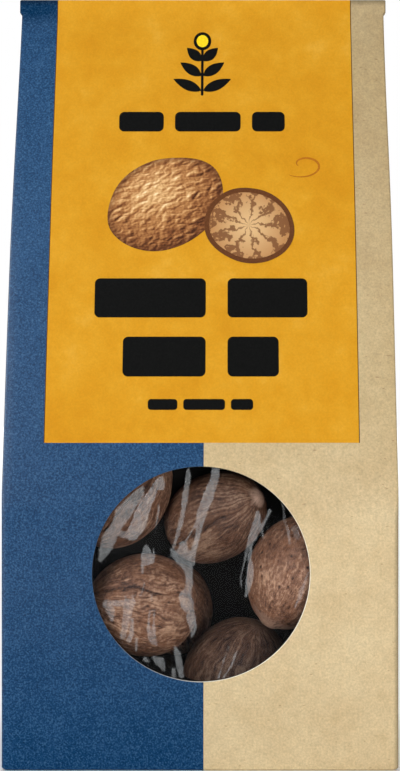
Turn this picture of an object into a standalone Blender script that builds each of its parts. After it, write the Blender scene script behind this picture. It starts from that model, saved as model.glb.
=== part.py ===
"""A folded paperboard pack of whole nutmegs, standing upright, with a round film window in its front.

Units are metres and +Z is up. The front faces -Y, and the origin is the middle of the base.
"""

import math

import bmesh
import bpy
from mathutils import Vector

MM = 0.001

# The carton. Its walls are upright to BOX_HEIGHT. Above that its front and back lean together
# and bow outwards a little.
WIDTH = 80 * MM
DEPTH = 46 * MM
HEIGHT = 161.5 * MM
BOX_HEIGHT = 52 * MM
BOW = 1.2 * MM
LEANING_RINGS = [z * MM for z in (52, 66, 82, 100, 115, 130, 142)]
BOARD = 0.5 * MM
FLOOR = 3 * BOARD
CREASE_RADIUS = 1.2 * MM
BASE_ROUNDING = 0.6 * MM
ARC_STEPS = 4

# The pressed seam along the top holds four layers of board, and the pack is a little narrower below it.
SEAM_HEIGHT = 3 * MM
SEAM_HALF_DEPTH = 2 * BOARD
SEAM_RADIUS = 0.45 * MM
EAR_STEP = 0.6 * MM
WAIST = 0.45 * MM
WAIST_START = 100 * MM

# Each side folds in as on a gable top. Its middle is a tall triangle that leans in from the crease
# to the seam, and its two flanks lie flat against the front and the back.
FLANK = 2 * BOARD
FOLD_TOP = HEIGHT - 7 * MM
FOLD_BOARD = 1.1 * BOARD
CUTTER_MARGIN = 5 * MM

# The outer flap of the base stops short of the back edge.
FLAP_END = 15 * MM
FLAP_STEP = 0.4 * MM

# The window is a circle on the unfolded front panel, and it crosses the crease at BOX_HEIGHT.
WINDOW_RADIUS = 22 * MM
WINDOW_CENTRE = (0.2 * MM, 39.2 * MM)
WINDOW_STEPS = 72

# The clear film lies just behind the front panel.
CLEARANCE = 0.3 * MM
FILM_THICKNESS = 0.2 * MM
FILM_HALF_WIDTH = 26 * MM
FILM_BOTTOM = 13 * MM
FILM_TOP = 65 * MM

# The inner bag is closed but for a pocket behind the window, where the nutmegs show.
BAG_INSET = 1.5 * MM
BAG_FOOT = FLOOR + CLEARANCE
BAG_SHOULDER = 50 * MM
BAG_TOP = 66 * MM
BAG_TOP_HALF_WIDTH = 29 * MM
BAG_RADIUS = 3 * MM
POCKET_RADIUS = WINDOW_RADIUS + 0.8 * MM
POCKET_BACK_LOW = 12 * MM
POCKET_BACK_HIGH = -5 * MM
POCKET_STEP = 41 * MM

# Nutmeg shape: taper towards the hilum, the groove of the raphe and low lengthwise ridges.
NUTMEG_SEGMENTS = 26
NUTMEG_RINGS = 17
NUTMEG_TAPER = 0.07
RAPHE_DEPTH = 0.035
RAPHE_WIDTH = 0.22
RIDGE_COUNT = 9
RIDGE_DEPTH = 0.008

# Each nutmeg: centre, length and breadth in millimetres, then the direction its hilum points in.
NUTMEGS = {
    "nutmeg_upper_left": ((-16.4, -11.0, 54.1), 24.6, 18.4, (0.66, -0.10, 0.75)),
    "nutmeg_upper_middle": ((3.6, -10.2, 49.2), 23.8, 19.2, (0.80, -0.35, 0.50)),
    "nutmeg_right": ((19.7, -11.2, 37.4), 24.6, 19.6, (-0.30, -0.20, -0.93)),
    "nutmeg_lower_left": ((-12.3, -11.0, 31.3), 23.6, 21.2, (-0.93, -0.28, 0.20)),
    "nutmeg_rear_left": ((-7.6, 10.2, 26.4), 21.4, 19.8, (0.30, 0.25, -0.92)),
    "nutmeg_bottom": ((7.8, -6.4, 15.4), 25.2, 23.4, (0.35, -0.25, 0.90)),
}

BOARD_COLOUR = (0.56, 0.46, 0.28, 1)
FILM_COLOUR = (0.90, 0.90, 0.90, 0.2)
BAG_COLOUR = (0.010, 0.009, 0.008, 1)
NUTMEG_COLOUR = (0.19, 0.105, 0.070, 1)


def clear_scene():
    for old in list(bpy.data.objects):
        bpy.data.objects.remove(old, do_unlink=True)


def make_material(name, colour, roughness):
    material = bpy.data.materials.new(name)
    material.use_nodes = True
    shader = material.node_tree.nodes["Principled BSDF"]
    shader.inputs["Base Color"].default_value = colour
    shader.inputs["Alpha"].default_value = colour[3]
    shader.inputs["Roughness"].default_value = roughness
    return material


def make_object(name, mesh_data, material=None, sharp_angle=35):
    """Turns a bmesh into a named object in the scene, smooth apart from its sharp edges."""
    mesh = bpy.data.meshes.new(name)
    bmesh.ops.recalc_face_normals(mesh_data, faces=mesh_data.faces)
    mesh_data.to_mesh(mesh)
    mesh_data.free()
    mesh.shade_smooth()
    mesh.set_sharp_from_angle(angle=math.radians(sharp_angle))
    made = bpy.data.objects.new(name, mesh)
    bpy.context.scene.collection.objects.link(made)
    if material:
        mesh.materials.append(material)
    return made


def as_cutter(helper):
    helper.hide_render = True
    helper.display_type = "WIRE"
    return helper


def cut(target, cutter):
    boolean = target.modifiers.new("cut " + cutter.name, "BOOLEAN")
    boolean.operation = "DIFFERENCE"
    boolean.solver = "EXACT"
    boolean.object = cutter


def smooth_step(low, high, value):
    share = min(max((value - low) / (high - low), 0), 1)
    return share * share * (3 - 2 * share)


def half_depth(z):
    """How far the front and back panels stand from the middle plane at height z."""
    seam_start = HEIGHT - SEAM_HEIGHT
    share = min(max((z - BOX_HEIGHT) / (seam_start - BOX_HEIGHT), 0), 1)
    return DEPTH / 2 + share * (SEAM_HALF_DEPTH - DEPTH / 2) + BOW * math.sin(share * math.pi)


def half_width(z):
    """Half the pack's width at height z, with the slight waist under the ears of the seam."""
    if z > HEIGHT - SEAM_HEIGHT:
        return WIDTH / 2
    return WIDTH / 2 - WAIST * smooth_step(WAIST_START, HEIGHT - SEAM_HEIGHT, z)


def corner_radius(z):
    share = smooth_step(BOX_HEIGHT, HEIGHT - SEAM_HEIGHT, z)
    return CREASE_RADIUS + share * (SEAM_RADIUS - CREASE_RADIUS)


def rounded_rectangle(half_x, half_y, radius, z):
    """The points of a rectangle with round corners at height z, counter-clockwise."""
    points = []
    for corner, (sign_x, sign_y) in enumerate(((1, 1), (-1, 1), (-1, -1), (1, -1))):
        for step in range(ARC_STEPS + 1):
            angle = (corner + step / ARC_STEPS) * math.pi / 2
            x = sign_x * (half_x - radius) + radius * math.cos(angle)
            y = sign_y * (half_y - radius) + radius * math.sin(angle)
            points.append(Vector((x, y, z)))
    return points


def loft(rings):
    """A closed bmesh through rings of points, capped at both ends."""
    made = bmesh.new()
    loops = [[made.verts.new(point) for point in ring] for ring in rings]
    for lower, upper in zip(loops, loops[1:]):
        for i in range(len(lower)):
            j = (i + 1) % len(lower)
            made.faces.new((lower[i], lower[j], upper[j], upper[i]))
    made.faces.new(reversed(loops[0]))
    made.faces.new(loops[-1])
    return made


def tent_section(z, inset=0.0):
    """The carton's outline at height z, drawn in by inset on every side."""
    radius = max(corner_radius(z) - inset, SEAM_RADIUS / 2)
    return rounded_rectangle(half_width(z) - inset, half_depth(z) - inset, radius, z)


def carton_body():
    """The whole outer form of the carton, before its side folds, inside and window are cut."""
    rings = []
    for step in range(ARC_STEPS + 1):
        angle = step / ARC_STEPS * math.pi / 2
        inset = BASE_ROUNDING * (1 - math.sin(angle))
        outline = tent_section(0, inset)
        height = BASE_ROUNDING * (1 - math.cos(angle))
        rings.append([Vector((p.x, p.y, height)) for p in outline])
    seam_start = HEIGHT - SEAM_HEIGHT
    for z in (*LEANING_RINGS, FOLD_TOP, seam_start):
        rings.append(tent_section(z))
    rings.append(tent_section(seam_start + EAR_STEP))
    rings.append(tent_section(HEIGHT))
    return loft(rings)


def side_fold(name, side, grow=0.0):
    """The wedge of air that one folded side encloses. grow adds the board around it."""
    outside = side * (WIDTH / 2 + CUTTER_MARGIN)
    rings = []
    for z in (*LEANING_RINGS, FOLD_TOP):
        share = (z - BOX_HEIGHT) / (FOLD_TOP - BOX_HEIGHT)
        middle = side * (WIDTH / 2 - share * DEPTH / 2 - grow)
        mouth = half_depth(z) - FLANK + grow
        corners = ((outside, -mouth), (outside, mouth), (middle, mouth), (middle, -mouth))
        rings.append([Vector((x, y, z)) for x, y in corners])
    return as_cutter(make_object(name, loft(rings)))


def cavity():
    """The hollow inside of the carton, which keeps a board's thickness from every outer face."""
    made = make_object("cavity", loft([tent_section(z, BOARD) for z in (FLOOR, *LEANING_RINGS)]))
    for side, name in ((-1, "left"), (1, "right")):
        cut(made, side_fold("fold_board_" + name, side, grow=FOLD_BOARD))
    return as_cutter(made)


def on_front_panel(across, up, behind=0.0):
    """The point at across and up on the unfolded front panel, set back by behind."""
    near = LEANING_RINGS[1]
    lean = math.atan2(half_depth(BOX_HEIGHT) - half_depth(near), near - BOX_HEIGHT)
    z = min(up, BOX_HEIGHT) + max(up - BOX_HEIGHT, 0) * math.cos(lean)
    return Vector((across, behind - half_depth(z), z))


def prism(outline, front, back):
    """A closed bmesh from an outline of (x, z) points, from y front to y back."""
    return loft([[Vector((x, y, z)) for x, z in outline] for y in (front, back)])


def window_outline(radius):
    """The window's outline as seen along Y, from its circle on the unfolded panel."""
    outline = []
    for step in range(WINDOW_STEPS):
        angle = step / WINDOW_STEPS * 2 * math.pi
        across = WINDOW_CENTRE[0] + radius * math.cos(angle)
        point = on_front_panel(across, WINDOW_CENTRE[1] + radius * math.sin(angle))
        outline.append((point.x, point.z))
    return outline


def make_carton():
    board = make_material("board", BOARD_COLOUR, 0.8)
    carton = make_object("carton", carton_body(), board)
    cut(carton, cavity())
    for side, name in ((-1, "left"), (1, "right")):
        cut(carton, side_fold("fold_" + name, side))
    window = prism(window_outline(WINDOW_RADIUS), -DEPTH / 2 - CUTTER_MARGIN, -DEPTH / 4)
    cut(carton, as_cutter(make_object("window_cutter", window)))

    flap_gap = bmesh.new()
    bmesh.ops.create_cube(flap_gap, size=1)
    size = Vector((WIDTH + CUTTER_MARGIN, DEPTH / 2, 2 * FLAP_STEP))
    centre = Vector((0, FLAP_END + size.y / 2, 0))
    for vertex in flap_gap.verts:
        vertex.co = centre + vertex.co * size
    cut(carton, as_cutter(make_object("flap_cutter", flap_gap)))
    return carton


def make_film():
    """The sheet of film behind the window. It bends with the front panel at the crease."""
    rings = []
    for across in (-FILM_HALF_WIDTH, FILM_HALF_WIDTH):
        faces = []
        for behind in (BOARD + CLEARANCE, BOARD + CLEARANCE + FILM_THICKNESS):
            faces.append([on_front_panel(across, up, behind) for up in (FILM_BOTTOM, BOX_HEIGHT, FILM_TOP)])
        rings.append(faces[0] + faces[1][::-1])
    film = make_material("film", FILM_COLOUR, 0.1)
    return make_object("window_film", loft(rings), film)


def nutmeg_mesh(length, breadth):
    """A whole nutmeg along Z, its hilum at +Z, with the raphe's groove and low ridges."""
    made = bmesh.new()
    bmesh.ops.create_uvsphere(made, u_segments=NUTMEG_SEGMENTS, v_segments=NUTMEG_RINGS, radius=1)
    for vertex in made.verts:
        along = vertex.co.z
        around = math.atan2(vertex.co.y, vertex.co.x)
        waist = math.hypot(vertex.co.x, vertex.co.y)
        girth = 1 - NUTMEG_TAPER * along
        girth -= waist * RAPHE_DEPTH * math.exp(-((around / RAPHE_WIDTH) ** 2))
        girth += waist * RIDGE_DEPTH * math.cos(RIDGE_COUNT * around + 2 * along)
        vertex.co.x *= girth * breadth / 2
        vertex.co.y *= girth * breadth / 2
        vertex.co.z = along * length / 2
    return made


def place_nutmeg(name, centre, length, breadth, direction, material=None):
    made = make_object(name, nutmeg_mesh(length * MM, breadth * MM), material, sharp_angle=80)
    made.location = Vector(centre) * MM
    made.rotation_mode = "QUATERNION"
    made.rotation_quaternion = Vector(direction).to_track_quat("Z", "Y")
    return made


def make_inner_bag():
    """The closed inner bag, with a socket round the hidden side of each nutmeg."""
    half_x = WIDTH / 2 - BAG_INSET
    rings = [
        rounded_rectangle(half_x, DEPTH / 2 - BAG_INSET, BAG_RADIUS, BAG_FOOT),
        rounded_rectangle(half_x, DEPTH / 2 - BAG_INSET, BAG_RADIUS, BAG_SHOULDER),
        rounded_rectangle(BAG_TOP_HALF_WIDTH, half_depth(BAG_TOP) - BAG_INSET, BAG_RADIUS, BAG_TOP),
    ]
    bag = make_object("inner_bag", loft(rings), make_material("inner_bag", BAG_COLOUR, 0.9))
    pocket = window_outline(POCKET_RADIUS)
    low = [(x, min(z, POCKET_STEP)) for x, z in pocket]
    front = -DEPTH / 2 - CUTTER_MARGIN
    cut(bag, as_cutter(make_object("pocket_high", prism(pocket, front, POCKET_BACK_HIGH))))
    cut(bag, as_cutter(make_object("pocket_low", prism(low, front, POCKET_BACK_LOW))))
    clearance = 2 * CLEARANCE / MM
    for name, (centre, length, breadth, direction) in NUTMEGS.items():
        socket = place_nutmeg("socket_" + name, centre, length + clearance, breadth + clearance, direction)
        cut(bag, as_cutter(socket))
    return bag


def make_nutmegs():
    material = make_material("nutmeg", NUTMEG_COLOUR, 0.7)
    for name, (centre, length, breadth, direction) in NUTMEGS.items():
        place_nutmeg(name, centre, length, breadth, direction, material)


clear_scene()
make_carton()
make_film()
make_inner_bag()
make_nutmegs()
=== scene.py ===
"""The looks of a folded paperboard pack of whole nutmegs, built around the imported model.

Everything is in metres. The front faces -Y, and the pack stands on z = 0.
"""

import math

import bmesh
import bpy
import numpy as np
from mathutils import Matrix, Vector, noise


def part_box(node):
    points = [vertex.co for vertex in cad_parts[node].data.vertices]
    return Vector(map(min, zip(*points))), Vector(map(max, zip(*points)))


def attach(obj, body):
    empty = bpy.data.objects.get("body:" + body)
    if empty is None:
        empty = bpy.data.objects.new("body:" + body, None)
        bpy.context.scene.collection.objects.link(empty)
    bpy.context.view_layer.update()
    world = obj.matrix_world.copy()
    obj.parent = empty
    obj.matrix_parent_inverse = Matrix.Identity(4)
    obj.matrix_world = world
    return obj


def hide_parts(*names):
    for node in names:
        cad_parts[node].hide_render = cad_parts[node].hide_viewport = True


MM = 0.001

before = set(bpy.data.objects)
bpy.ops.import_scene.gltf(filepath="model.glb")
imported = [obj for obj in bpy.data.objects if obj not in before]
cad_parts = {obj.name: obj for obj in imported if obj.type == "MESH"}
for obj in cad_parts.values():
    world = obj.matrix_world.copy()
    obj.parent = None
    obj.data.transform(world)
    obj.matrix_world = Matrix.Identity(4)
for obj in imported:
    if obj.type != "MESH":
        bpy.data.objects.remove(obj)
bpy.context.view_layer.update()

# The carton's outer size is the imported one, and the rest repeats its driving dimensions.
CARTON_LOW, CARTON_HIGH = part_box("carton")
WIDTH = CARTON_HIGH.x - CARTON_LOW.x
DEPTH = CARTON_HIGH.y - CARTON_LOW.y
HEIGHT = CARTON_HIGH.z - CARTON_LOW.z
BOX_HEIGHT = 52 * MM
BOW = 1.2 * MM
BOARD = 0.5 * MM
FLOOR = 3 * BOARD
SEAM_HEIGHT = 3 * MM
SEAM_START = HEIGHT - SEAM_HEIGHT
SEAM_HALF_DEPTH = 2 * BOARD
FLANK = 2 * BOARD
FOLD_TOP = HEIGHT - 7 * MM
WAIST = 0.45 * MM
WAIST_START = 100 * MM
EAR_STEP = 0.6 * MM
CREASE_SOFTNESS = 0.9 * MM
CORNER_RADIUS = 1.2 * MM
FLANK_BLEND = 5 * MM
BASE_ROUNDING = 0.6 * MM
TOP_ROUNDING = 0.25 * MM
SLIT = 0.03 * MM
WAVE = 0.10 * MM
WAVE_LENGTH = 26 * MM
FLAP_END = 15 * MM
FLAP_STEP = 0.4 * MM
FRONT_END = WIDTH / 2 - 2.4 * MM
EAR_RADIUS = 0.45 * MM
FOLD_END = FOLD_TOP + 2 * MM
CAVITY_RADIUS = 0.7 * MM
SHARP_ANGLE = math.radians(32)
WELD = 0.002 * MM

# The board's unevenness: one pattern in depth and one in width, each less near the carton's middle.
DEPTH_PATTERN = 3.7
WIDTH_PATTERN = 9.1
DEPTH_FADE = 2 * MM
WIDTH_FADE = 20 * MM

# The window's circle on the unfolded front panel, its crushed rim, and a height on the leaning part.
WINDOW_RADIUS = 21.85 * MM
WINDOW_HEIGHT_SHARE = 0.988
WINDOW_CENTRE = (0.2 * MM, 39.45 * MM)
WINDOW_STEPS = 180
RIM_WIDTH = 0.006 * MM
RIM_EXTRA = 0.12 * MM
RIM_TOWARDS = math.radians(-40)
LEAN_MARK = 66 * MM

# The printed fields: the label's edges, its foot, and the line between the blue and the bare board.
LABEL_LEFT = -31.6 * MM
LABEL_RIGHT = 32.2 * MM
LABEL_FOOT = 65.65 * MM
LABEL_LINE = 0.18 * MM
DIVISION = 0.7 * MM

# The slots of the carton's outside: the two grounds, the label, its side lines and the cut top.
BLUE, KRAFT, LABEL, LINE, EDGE = range(5)

# The kraft's painted shade at each height in millimetres: a darkening up the leaning part towards the seam,
# where less light falls.
KRAFT_PAINTED_SHADE = [
    (45, (0.985, 0.985, 0.985)),
    (54, (0.920, 0.910, 0.900)),
    (74, (0.835, 0.815, 0.755)),
    (116, (0.785, 0.760, 0.705)),
    (143, (0.700, 0.660, 0.575)),
    (160, (0.700, 0.680, 0.630)),
]

# The height from which the blue ink's gloss fades towards the seam.
DULL_START = HEIGHT - 6 * MM

# How finely the carton is stepped: across the front, round its folds, up the skin and up the cavity.
# Each of SKIN_ROWS is a height and the gap between the rings up to it. CAVITY_ROWS are in millimetres,
# and CAVITY_UPPER_ROWS go on from one height towards another by a gap.
FRONT_COLUMN_GAP = 1.25 * MM
ARC_STEPS = 9
FLANK_STEPS = 8
FOLD_STEPS = 22
SKIN_ROWS = [
    (46 * MM, 1.6 * MM),
    (60 * MM, 0.5 * MM),
    (LABEL_FOOT, 1.2 * MM),
    (FOLD_TOP, 1.6 * MM),
    (SEAM_START - EAR_STEP, 0.6 * MM),
    (SEAM_START + EAR_STEP, 0.12 * MM),
    (HEIGHT - TOP_ROUNDING, 0.5 * MM),
]
CAVITY_ROWS = (20, 40, 48, 50, 51, 52, 53, 54, 56)
CAVITY_UPPER_ROWS = (60 * MM, 144 * MM, 6 * MM)

# The photograph's frame and camera. Its centre line runs a little right of the pack's.
PHOTO_HEIGHT = 771
SENSOR = 36
FOCAL_PX = 1232
CAMERA_DISTANCE = 247 * MM
CAMERA_X = 6.6 * MM
CAMERA_HEIGHT = 77.26 * MM
CENTRE_SHIFT_PX = 32.9

# The label's generic print: its own sprig, bars, flourish and pair of printed nutmegs.
PRINT_LIFT = 0.04 * MM
SPRIG_FOOT = (0.0, 139.5 * MM)
SPRIG_HEIGHT = 11.0 * MM
SPRIG_ROWS = 3
LABEL_BARS = [
    (133.6, 4.4, (9.5, 14.0, 7.0)),
    (95.4, 8.2, (23.0, 16.5)),
    (83.2, 8.2, (17.0, 10.5)),
    (73.4, 2.2, (6.0, 8.5, 4.5)),
]
FLOURISH = (21.5 * MM, 124.0 * MM)
FLOURISH_STEPS = 59
PRINTED_WHOLE = (-7.5 * MM, 115.5 * MM)
PRINTED_SIZE = (12.8 * MM, 9.6 * MM)
PRINTED_TILT = math.radians(24)
PRINTED_HALF = (10.0 * MM, 110.8 * MM)

# Nutmeg form: grid, taper towards the hilum, the groove of the raphe, and the pits.
NUTMEG_AROUND = 300
NUTMEG_ALONG = 170
NUTMEG_TAPER = 0.07
RAPHE_DEPTH = 0.035
RAPHE_WIDTH = 0.22
PIT_COUNT = 90
PIT_REACH = 0.022

# Each nutmeg: centre, length and breadth in millimetres, the direction of its hilum, and its tone, partly
# the seed's own colour and partly painted light and shade.
NUTMEGS = {
    "nutmeg_upper_left": ((-16.4, -11.0, 54.1), 24.6, 18.4, (0.66, -0.10, 0.75), 0.9),
    "nutmeg_upper_middle": ((3.0, -9.4, 49.5), 24.5, 18.6, (0.74, -0.54, 0.41), 0.63),
    "nutmeg_right": ((20.0, -11.4, 37.9), 24.7, 20.8, (-0.50, -0.30, -0.81), 1.33),
    "nutmeg_lower_left": ((-12.3, -11.0, 31.3), 23.6, 21.2, (-0.93, -0.28, 0.20), 1.17),
    "nutmeg_rear_left": ((-7.6, 10.2, 26.4), 21.4, 19.8, (0.30, 0.25, -0.92), 1.3),
    "nutmeg_bottom": ((7.8, -6.4, 15.4), 25.2, 23.4, (0.35, -0.25, 0.90), 0.45),
}

# How strong each nutmeg's wrinkles, net of creases, fibres, pits and pale hilum are, how far the pale
# hilum spreads, and the angle round the seed of the raphe's groove.
COATS = {
    "nutmeg_upper_left": (0.8, 0.4, 0.9, 0.3, 0.3, 0.03, 200),
    "nutmeg_upper_middle": (0.45, 0.25, 1.0, 0.2, 1.5, 0.035, 200),
    "nutmeg_right": (0.3, 0.3, 0.5, 1.0, 0.9, 0.075, 200),
    "nutmeg_lower_left": (0.6, 0.45, 0.8, 0.3, 0.0, 0.03, 24),
    "nutmeg_rear_left": (0.7, 0.5, 0.7, 0.3, 0.3, 0.03, 200),
    "nutmeg_bottom": (0.4, 0.2, 1.0, 0.2, 0.2, 0.03, 200),
}

# The film: its grid, how far behind the panel's face it lies, how strong the painted highlight on its folds
# is, and the folds themselves, each a strength and a line of X, Z and width in millimetres.
FILM_GRID = 310
FILM_BEHIND = 0.78 * MM
FILM_GLARE = 0.165
FILM_FOLDS = [
    (0.9, [(-2.4, 61.0, 0.3), (-2.4, 58.6, 1.0), (-3.3, 53.5, 1.0), (-4.0, 49.0, 0.9), (-5.9, 43.0, 0.3)]),
    (1.0, [(3.2, 61.2, 1.3), (3.0, 58.6, 1.5), (1.3, 53.9, 2.1), (0.2, 51.4, 2.1), (-0.4, 47.7, 0.9),
           (-1.4, 43.4, 1.3), (-2.0, 41.5, 1.9)]),
    (0.9, [(0.0, 51.0, 0.9), (-1.5, 48.3, 0.45), (-3.8, 44.3, 0.45), (-4.6, 42.8, 1.5)]),
    (0.9, [(11.5, 51.7, 0.8), (11.3, 48.7, 1.8), (10.5, 46.5, 1.6), (9.6, 44.6, 0.45), (8.2, 38.8, 0.4),
           (8.3, 36.6, 0.2)]),
    (1.0, [(10.7, 46.2, 0.5), (9.9, 43.1, 0.75), (10.2, 40.9, 1.2), (9.9, 38.4, 1.5), (9.3, 35.0, 0.5)]),
    (0.9, [(14.0, 52.0, 0.9), (13.2, 50.2, 0.7), (12.4, 48.7, 0.45), (12.6, 46.8, 0.3)]),
    (0.9, [(5.7, 24.6, 0.2), (4.7, 21.7, 0.35), (3.7, 18.4, 0.3)]),
    (0.9, [(7.4, 23.8, 0.2), (6.2, 20.8, 0.4), (4.7, 18.4, 0.35)]),
    (0.6, [(16.6, 53.3, 0.35), (16.9, 50.2, 0.3), (17.7, 47.7, 0.5), (18.0, 45.4, 0.4)]),
    (0.4, [(19.0, 48.4, 1.3), (19.6, 46.6, 0.9)]),
    (0.95, [(-7.9, 58.4, 1.11), (-8.3, 57.3, 2.36), (-9.0, 56.5, 1.11)]),
    (1.0, [(-11.7, 56.5, 0.83), (-12.2, 55.6, 1.95), (-13.9, 53.6, 2.5), (-15.4, 51.6, 3.33),
           (-16.4, 49.7, 2.36), (-17.4, 48.1, 2.22)]),
    (0.85, [(-17.4, 48.1, 2.22), (-18.3, 46.3, 3.06), (-19.2, 44.1, 2.5), (-19.9, 42.4, 1.11)]),
    (1.05, [(-9.5, 55.9, 1.67), (-10.8, 53.6, 2.36), (-11.8, 51.1, 3.06), (-12.4, 49.1, 3.06),
           (-13.6, 47.4, 2.5)]),
    (0.8, [(-17.1, 47.7, 1.39), (-15.1, 47.3, 1.39), (-13.6, 47.3, 1.67)]),
    (0.7, [(-8.4, 55.5, 0.19), (-8.4, 51.9, 0.33), (-8.8, 49.4, 0.22), (-9.1, 46.9, 0.33)]),
    (0.8, [(-11.1, 42.2, 1.75), (-11.6, 41.0, 0.76), (-11.6, 39.7, 0.41)]),
    (0.85, [(-19.0, 33.6, 0.87), (-16.5, 33.5, 1.16), (-13.8, 33.6, 1.75)]),
    (0.85, [(-18.6, 33.3, 1.75), (-18.0, 31.7, 1.46), (-17.7, 30.1, 0.58)]),
    (0.8, [(-14.3, 33.3, 2.33), (-14.6, 31.4, 2.04), (-15.1, 29.4, 1.46), (-15.5, 26.8, 1.16)]),
    (0.9, [(-13.6, 30.3, 0.52), (-13.8, 27.3, 0.76), (-14.4, 26.0, 1.16)]),
    (0.9, [(-12.8, 26.3, 0.47), (-12.9, 23.9, 0.35)]),
    (0.8, [(-15.2, 34.9, 0.17), (-13.6, 35.0, 0.17), (-9.8, 35.2, 0.17)]),
    (0.8, [(-13.6, 35.0, 0.29), (-13.5, 33.8, 0.41)]),
    (0.8, [(-9.8, 35.2, 0.29), (-9.7, 34.0, 0.29)]),
    (0.9, [(-10.1, 32.0, 0.23), (-10.4, 29.4, 0.47), (-10.3, 27.6, 0.7)]),
    (0.9, [(-10.1, 32.0, 0.17), (-9.1, 32.0, 0.17), (-9.3, 29.7, 0.41), (-9.4, 27.9, 0.87)]),
    (0.75, [(-9.4, 28.2, 0.87), (-9.8, 26.8, 1.75), (-9.3, 25.9, 1.46), (-8.7, 25.0, 0.41)]),
    (0.8, [(-11.2, 37.5, 0.35), (-11.6, 35.6, 0.35)]),
    (0.9, [(-9.3, 22.5, 0.58), (-8.2, 21.7, 1.8), (-7.4, 20.5, 1.11), (-7.1, 19.9, 0.23)]),
    (0.9, [(-10.9, 22.2, 1.05), (-10.4, 21.8, 0.58)]),
    (0.9, [(-5.0, 24.6, 0.41), (-4.5, 23.0, 1.46), (-4.1, 21.2, 1.34), (-3.8, 18.8, 1.16)]),
    (0.9, [(-5.3, 20.1, 0.7), (-5.2, 18.3, 0.87)]),
    (0.7, [(21.8, 39.7, 0.25), (20.4, 35.9, 0.89), (19.1, 32.7, 0.64)]),
    (1.0, [(-10.9, 45.4, 0.17), (-10.8, 44.4, 1.39), (-10.7, 42.7, 2.72), (-10.5, 41.8, 1.67),
           (-10.8, 41.3, 0.56)]),
    (1.0, [(-9.3, 44.9, 0.11), (-9.4, 43.0, 0.61), (-9.7, 41.9, 1.11)]),
    (0.95, [(-5.8, 44.2, 0.76), (-4.6, 42.8, 1.92), (-3.1, 42.0, 2.79), (-2.3, 40.4, 1.92),
           (-2.1, 37.8, 1.46), (-2.4, 36.1, 1.63), (-3.0, 34.6, 2.68), (-2.7, 33.3, 2.85),
           (-2.0, 31.9, 1.75), (-1.6, 30.3, 1.8), (-1.3, 28.2, 1.34), (-1.7, 26.6, 0.35)]),
    (0.95, [(-3.4, 45.1, 1.75), (-3.4, 43.4, 2.91), (-2.8, 42.2, 2.62)]),
]

# The bag's back, and the light.
BAG_VOXEL = 0.9 * MM
BAG_CRUMPLE = 0.5 * MM
SOCKET_GAP = 0.25 * MM
WORLD_LIGHT = 0.38
WORLD_REFLECTED = 0.05


def clamp(value, low=0.0, high=1.0):
    return min(max(value, low), high)


def smooth_step(low, high, value):
    share = clamp((value - low) / (high - low))
    return share * share * (3 - 2 * share)


def steps_between(low, high, gap):
    """Values from low up to, but not at, high, about gap apart."""
    count = max(1, round((high - low) / gap))
    return [low + (high - low) * i / count for i in range(count)]


def turned(centre, x, z, tilt):
    """The point at x and z from the centre, turned about it by tilt."""
    return (
        centre[0] + x * math.cos(tilt) - z * math.sin(tilt),
        centre[1] + x * math.sin(tilt) + z * math.cos(tilt),
    )


def rounded_box(half_x, half_y, radius, steps):
    """A rounded rectangle's outline round its centre."""
    outline = []
    for corner, (sign_x, sign_y) in enumerate(((1, 1), (-1, 1), (-1, -1), (1, -1))):
        for step in range(steps + 1):
            angle = (corner + step / steps) * math.pi / 2
            x = sign_x * (half_x - radius) + radius * math.cos(angle)
            y = sign_y * (half_y - radius) + radius * math.sin(angle)
            outline.append((x, y))
    return outline


def grid_faces(rows, size, closed=True):
    """Faces between rows of size points each. A closed row's last point joins its first."""
    faces = []
    for low in range(0, (rows - 1) * size, size):
        for i in range(size if closed else size - 1):
            j = (i + 1) % size
            faces.append((low + i, low + j, low + size + j, low + size + i))
    return faces


def add_object(name, mesh):
    made = bpy.data.objects.new(name, mesh)
    bpy.context.scene.collection.objects.link(made)
    return made


def mesh_from(name, points, faces):
    mesh = bpy.data.meshes.new(name)
    mesh.from_pydata([tuple(p) for p in points], [], faces)
    mesh.update()
    return mesh


def mark_points(mesh, name, values):
    """Stores a number, or a place, for each point of the mesh."""
    values = np.asarray(values, np.float32)
    kind, field = ("FLOAT", "value") if values.ndim == 1 else ("FLOAT_VECTOR", "vector")
    mesh.attributes.new(name, kind, "POINT").data.foreach_set(field, values.ravel())


def ride_root(piece, replaced=None):
    """Makes a piece move with the pack and stand for a CAD node, whose own piece it hides."""
    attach(piece, "root")
    if replaced:
        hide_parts(replaced)


def add_smooth(name, mesh, material, replaced=None):
    """Adds a smooth piece of one material that moves with the pack."""
    mesh.materials.append(material)
    mesh.shade_smooth()
    ride_root(add_object(name, mesh), replaced)


# Node helpers for the materials


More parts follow.
